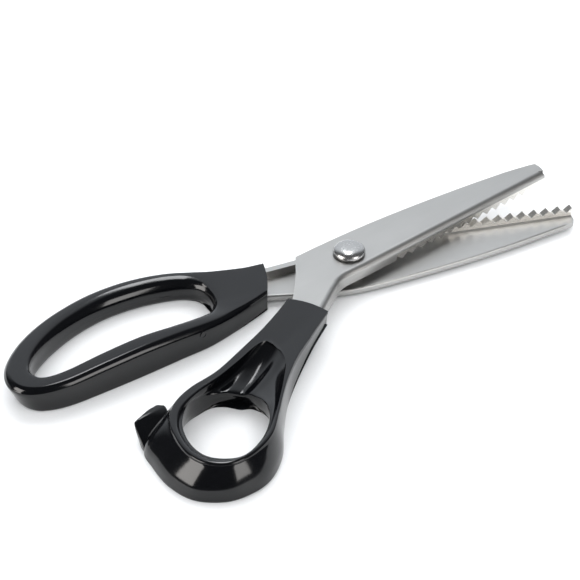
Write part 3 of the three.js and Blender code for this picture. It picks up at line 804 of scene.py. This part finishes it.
def gate_mark():
    """The round scar high on the finger handle's near wall, where the mould was filled."""
    scar = post(0, 0, GATE_R, -1, GATE_PROUD, 48)
    combine(scar, post(0, 0, GATE_DIMPLE_R, GATE_FLOOR, 1, 48), "DIFFERENCE")
    out = Vector((math.cos(GATE_FACING), math.sin(GATE_FACING), 0))
    along = Vector((-out.y, out.x, 0))
    spot = Vector([MM * c for c in GATE_SPOT])
    for vertex in scar.data.vertices:
        x, y, z = vertex.co
        vertex.co = spot + along * x + Vector((0, 0, y)) + out * z
    return scar


def finger_handle():
    sections = [finger_section(row) for row in eased(FINGER_STATIONS, STATION_STEPS)]
    grip = skin(sections, "finger_handle_moulding")
    combine(grip, beyond_end(**FINGER_END), "DIFFERENCE")
    combine(grip, gate_mark(), "UNION")
    low, wall_high = OUTER_LOW - TANG_FIT, MATING_Z + WALL_PAST + TANG_FIT
    combine(grip, prism(FINGER_PLATE_POCKET, low, INNER_LOW + TANG_FIT), "DIFFERENCE")
    combine(grip, prism(FINGER_WALL_POCKET, low, wall_high), "DIFFERENCE")
    return smooth(grip, 30)


def closing_stop():
    """An upright face towards the finger handle, backed by a slope down to the ring's foot."""
    made = bmesh.new()
    for points, z in ((STOP_CREST, STOP_TOP), (STOP_FOOT, 0)):
        for x, y in points:
            made.verts.new((x * MM, y * MM, z * MM))
    hull = bmesh.ops.convex_hull(made, input=made.verts)
    inside = [v for v in hull["geom_interior"] if isinstance(v, bmesh.types.BMVert)]
    bmesh.ops.delete(made, geom=inside, context="VERTS")
    mesh = bpy.data.meshes.new("stop")
    made.to_mesh(mesh)
    made.free()
    return bevelled(in_scene("stop", mesh), width=0.7, segments=4, angle=20)


def thumb_handle():
    sections = [thumb_section(row) for row in eased(THUMB_STATIONS, STATION_STEPS)]
    grip = skin(sections, "thumb_handle_moulding")
    combine(grip, beyond_end(**THUMB_END), "DIFFERENCE")
    combine(grip, closing_stop(), "UNION")
    high, wall_low = OUTER_HIGH + TANG_FIT, MATING_Z - WALL_PAST - TANG_FIT
    combine(grip, prism(THUMB_PLATE_POCKET, INNER_HIGH - TANG_FIT, high), "DIFFERENCE")
    combine(grip, prism(THUMB_WALL_POCKET, wall_low, high), "DIFFERENCE")
    return smooth(grip, 30)


# ---------------------------------------------------------------- stage

# Bearings are in degrees clockwise from +Y, and the lights and the camera are placed in metres.
CAMERA_BEARING, CAMERA_ELEVATION, CAMERA_DISTANCE = 203, 38.7, 1.09
CAMERA_TARGET = Vector((-28.55, -6.35, MATING_Z)) * MM
SENSOR, LENS = 36, 169.3
FLOOR_HALF = 9000
WALL_BEARING, WALL_ELEVATION = 23, 22  # middle of the bright wall
WALL_WHITE, CEILING_GREY = (0.95, 1.0, 1.06, 1), (0.075, 0.078, 0.084, 1)
LIT_SPOT = Vector((-0.03, -0.03, 0))  # the point that every light faces

# The room's own light: turn from the camera's bearing, elevation and watts.
ROOM = [(0, 45, 40), (90, 36, 31), (-90, 36, 31), (-180, 38, 60)]
ROOM_DISTANCE, ROOM_SIZE, ROOM_COLOUR = 2.2, 2.6, (0.99, 0.995, 1.0)


def towards(bearing, elevation):
    """The unit vector at a bearing and an elevation in degrees."""
    b, e = math.radians(bearing), math.radians(elevation)
    return Vector((math.sin(b) * math.cos(e), math.cos(b) * math.cos(e), math.sin(e)))


def aim(piece, target, away, distance):
    """Puts a camera or a light at a distance from its target, facing it."""
    piece.location = target + away * distance
    piece.rotation_euler = (-away).to_track_quat("-Z", "Y").to_euler()


def make_camera():
    data = bpy.data.cameras.new("camera")
    data.sensor_width = SENSOR
    data.lens = LENS
    data.clip_start, data.clip_end = 0.05, 50
    camera = in_scene("camera", data)
    aim(camera, CAMERA_TARGET, towards(CAMERA_BEARING, CAMERA_ELEVATION), CAMERA_DISTANCE)
    bpy.context.scene.camera = camera


def make_floor():
    corners = [(x * FLOOR_HALF, y * FLOOR_HALF, 0) for x, y in ((-1, -1), (1, -1), (1, 1), (-1, 1))]
    floor = mesh_object("floor", corners, [[0, 1, 2, 3]])
    made, tree, shader = node_material("pale_paper")
    paper = grain(tree, 0.0, across=900.0, along=900.0, detail=3.0)
    tree.links.new(tinted(tree, paper, PAPER_DARK, PAPER_LIGHT), shader.inputs["Base Color"])
    shader.inputs["Roughness"].default_value = 0.6
    finished(floor, made)


def make_world():
    """A studio with a bright white wall behind the shears and a dim ceiling."""
    world = bpy.data.worlds.new("studio")
    bpy.context.scene.world = world
    world.use_nodes = True
    tree = world.node_tree
    place = tree.nodes.new("ShaderNodeTexCoord")
    facing = tree.nodes.new("ShaderNodeVectorMath")
    facing.operation = "DOT_PRODUCT"
    facing.inputs[1].default_value = towards(WALL_BEARING, WALL_ELEVATION)
    tree.links.new(place.outputs["Generated"], facing.inputs[0])
    ramp = tree.nodes.new("ShaderNodeValToRGB")
    ramp.color_ramp.interpolation = "EASE"
    ramp.color_ramp.elements[0].position = 0.55
    ramp.color_ramp.elements[0].color = CEILING_GREY
    ramp.color_ramp.elements[1].position = 0.86
    ramp.color_ramp.elements[1].color = WALL_WHITE
    tree.links.new(facing.outputs["Value"], ramp.inputs["Fac"])
    tree.links.new(ramp.outputs["Color"], tree.nodes["Background"].inputs["Color"])
    tree.nodes["Background"].inputs["Strength"].default_value = 1.0


def softbox(name, away, distance, size, watts, colour):
    data = bpy.data.lights.new(name, "AREA")
    data.shape = "RECTANGLE"
    data.size, data.size_y = size
    data.energy = watts
    data.color = colour
    lamp = in_scene(name, data)
    aim(lamp, LIT_SPOT, away, distance)
    return lamp


def make_lights():
    """Three softboxes that only show as reflections, and the room's light, which makes none."""
    for glow in (
        softbox("softbox_top", towards(20, 66), 1.3, (0.22, 0.55), 4, (0.97, 0.985, 1.0)),
        softbox("softbox_left", towards(CAMERA_BEARING + 62, 25), 1.2, (0.7, 0.7), 11, (1.0, 0.97, 0.94)),
        softbox("softbox_right", towards(CAMERA_BEARING - 49, 25), 1.2, (0.5, 0.7), 6, (1.0, 0.98, 0.96)),
    ):
        glow.visible_diffuse = False
    for k, (turn, elevation, watts) in enumerate(ROOM):
        away = towards(CAMERA_BEARING + turn, elevation)
        size = (ROOM_SIZE, ROOM_SIZE)
        bounce = softbox(f"room_bounce_{k}", away, ROOM_DISTANCE, size, watts, ROOM_COLOUR)
        bounce.visible_glossy = False


# ---------------------------------------------------------------- the shears

LOWER, UPPER = "lower_half", "upper_half"

make_camera()
make_floor()
make_world()
make_lights()

# Each blade is brushed along its own edge.
blade_finish = (STEEL_DARK, STEEL_LIGHT, STEEL_WORN, BLADE_ROUGHNESS)
# The teeth's lighter colour is partly their ground finish and partly painted light, for the light their near
# faces catch from the floor in front.
tooth_finish_and_painted_light = (TOOTH_LIT_DARK, TOOTH_LIT_LIGHT, STEEL_WORN, TOOTH_ROUGHNESS)
steel_low = brushed_steel("brushed_steel_lower", LOWER_EDGE[0], *blade_finish)
steel_up = brushed_steel("brushed_steel_upper", UPPER_EDGE[0], *blade_finish)
teeth_low = brushed_steel("ground_teeth_painted_light_lower", LOWER_EDGE[0], *tooth_finish_and_painted_light)
teeth_up = brushed_steel("ground_teeth_painted_light_upper", UPPER_EDGE[0], *tooth_finish_and_painted_light)
shiny = polished_steel()
plastic = black_plastic()
white_nylon = nylon()

lower_bar = toothed_strip("lower_toothed_bar", LOWER_EDGE, INNER_LOW + LEDGE, -MESH_GAP / 2)
upper_bar = toothed_strip("upper_toothed_bar", UPPER_EDGE, INNER_HIGH - LEDGE, MESH_GAP / 2)

install(lower_blade(), LOWER, steel_low, "lower_blade")
install(upper_blade(), UPPER, steel_up, "upper_blade")
install(lower_bar, LOWER, teeth_low, "lower_tooth_strip")
install(upper_bar, UPPER, teeth_up, "upper_tooth_strip")
install(bolt(), LOWER, shiny, "pivot_bolt")
install(nut(), LOWER, steel_low, "pivot_nut")
install(finger_handle(), LOWER, plastic, "finger_handle")
install(thumb_handle(), UPPER, plastic, "thumb_handle")

for node, material in {
    "lower_pivot_boss": steel_low,
    "upper_pivot_boss": steel_up,
    "friction_washer": white_nylon,
    "flat_washer": shiny,
    "wave_washer": shiny,
}.items():
    finished(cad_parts[node], material)

bpy.context.scene.view_settings.view_transform = "Standard"
